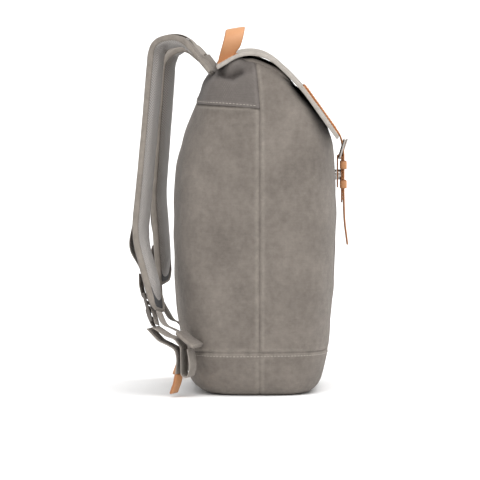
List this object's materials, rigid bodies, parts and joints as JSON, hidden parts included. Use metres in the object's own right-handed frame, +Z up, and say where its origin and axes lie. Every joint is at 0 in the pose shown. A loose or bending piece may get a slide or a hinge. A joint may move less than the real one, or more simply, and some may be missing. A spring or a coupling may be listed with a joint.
{
  "type": "travel backpack",
  "caption": "Flap-top canvas backpack with padded shoulder straps, leather grab handle and a buckled leather closing strap, standing upright",
  "frame": {"origin": "on the floor, under the middle of the base", "axes": "+Z up, the flap closes on the -Y side, shoulder straps on the +Y side, wearer's left is -X"},
  "size_m": [0.3115, 0.2691, 0.4508],
  "materials": {
    "canvas": "washed cotton canvas",
    "ribbed_canvas": "fine ribbed canvas",
    "flap_canvas": "washed cotton canvas",
    "lining_cloth": "plain woven lining",
    "foam": "closed-cell foam",
    "spacer_mesh": "herringbone spacer mesh",
    "webbing": "woven webbing",
    "tan_leather": "vegetable-tanned, waxed",
    "nickel_steel": "nickel plated",
    "grey_nylon": "moulded",
    "fibre_board": "plain"
  },
  "bodies": {
    "bag": {"bottom_panel": "canvas", "base_band": "canvas", "front_panel": "canvas", "back_panel": "canvas", "back_yoke": "ribbed_canvas", "lining": "lining_cloth", "mouth_binding": "canvas", "back_foam": "foam", "laptop_sleeve": "lining_cloth", "base_board": "fibre_board", "snap_stud": "nickel_steel", "strap_anchor_left": "canvas", "anchor_tab_left": "canvas", "webbing_left": "webbing", "strap_anchor_right": "canvas", "anchor_tab_right": "canvas", "webbing_right": "webbing"},
    "flap": {"flap_outer": "flap_canvas", "flap_lining": "lining_cloth", "flap_binding": "canvas", "closure_patch": "tan_leather", "strap_top": "tan_leather", "handle_feet": "tan_leather", "handle_loop": "tan_leather"},
    "closure": {"billet": "tan_leather", "chape": "tan_leather", "keeper_upper": "tan_leather", "keeper_lower": "tan_leather", "buckle_frame": "nickel_steel", "snap_cap": "nickel_steel"},
    "prong": {"buckle_prong": "nickel_steel"},
    "strap_left": {"strap_cover_left": "canvas", "strap_foam_left": "foam", "strap_mesh_left": "spacer_mesh", "strap_ribbon_left": "webbing", "strap_loop_left": "webbing", "webbing_tail_left": "webbing", "tail_tip_left": "tan_leather"},
    "lock_left": {"ladder_lock_left": "grey_nylon"},
    "strap_right": {"strap_cover_right": "canvas", "strap_foam_right": "foam", "strap_mesh_right": "spacer_mesh", "strap_ribbon_right": "webbing", "strap_loop_right": "webbing", "webbing_tail_right": "webbing", "tail_tip_right": "tan_leather"},
    "lock_right": {"ladder_lock_right": "grey_nylon"}
  },
  "joints": [
    {"name": "flap_hinge", "type": "hinge", "parent": "bag", "child": "flap", "pos_m": [0, 0.046, 0.401], "axis": [-1, 0, 0], "range_deg": [0, 50]},
    {"name": "closure_swing", "type": "hinge", "parent": "flap", "child": "closure", "pos_m": [0, -0.10567, 0.31673], "axis": [-1, 0, 0], "range_deg": [0, 50]},
    {"name": "prong_tilt", "type": "hinge", "parent": "closure", "child": "prong", "pos_m": [0, -0.10555, 0.289], "axis": [1, 0, 0], "range_deg": [0, 8]},
    {"name": "strap_swing_left", "type": "hinge", "parent": "bag", "child": "strap_left", "pos_m": [-0.088, 0.0609, 0.4069], "axis": [1, 0, 0], "range_deg": [0, 8], "deforming": ["webbing_left"]},
    {"name": "lock_pivot_left", "type": "hinge", "parent": "strap_left", "child": "lock_left", "pos_m": [-0.11274, 0.13349, 0.12361], "axis": [0.9674, -0.2081, -0.1447], "range_deg": [-4, 15]},
    {"name": "strap_swing_right", "type": "hinge", "parent": "bag", "child": "strap_right", "pos_m": [0.088, 0.0609, 0.4069], "axis": [1, 0, 0], "range_deg": [0, 8], "deforming": ["webbing_right"]},
    {"name": "lock_pivot_right", "type": "hinge", "parent": "strap_right", "child": "lock_right", "pos_m": [0.12087, 0.12652, 0.14547], "axis": [0.9758, -0.2079, 0.0682], "range_deg": [-4, 15]}
  ]
}
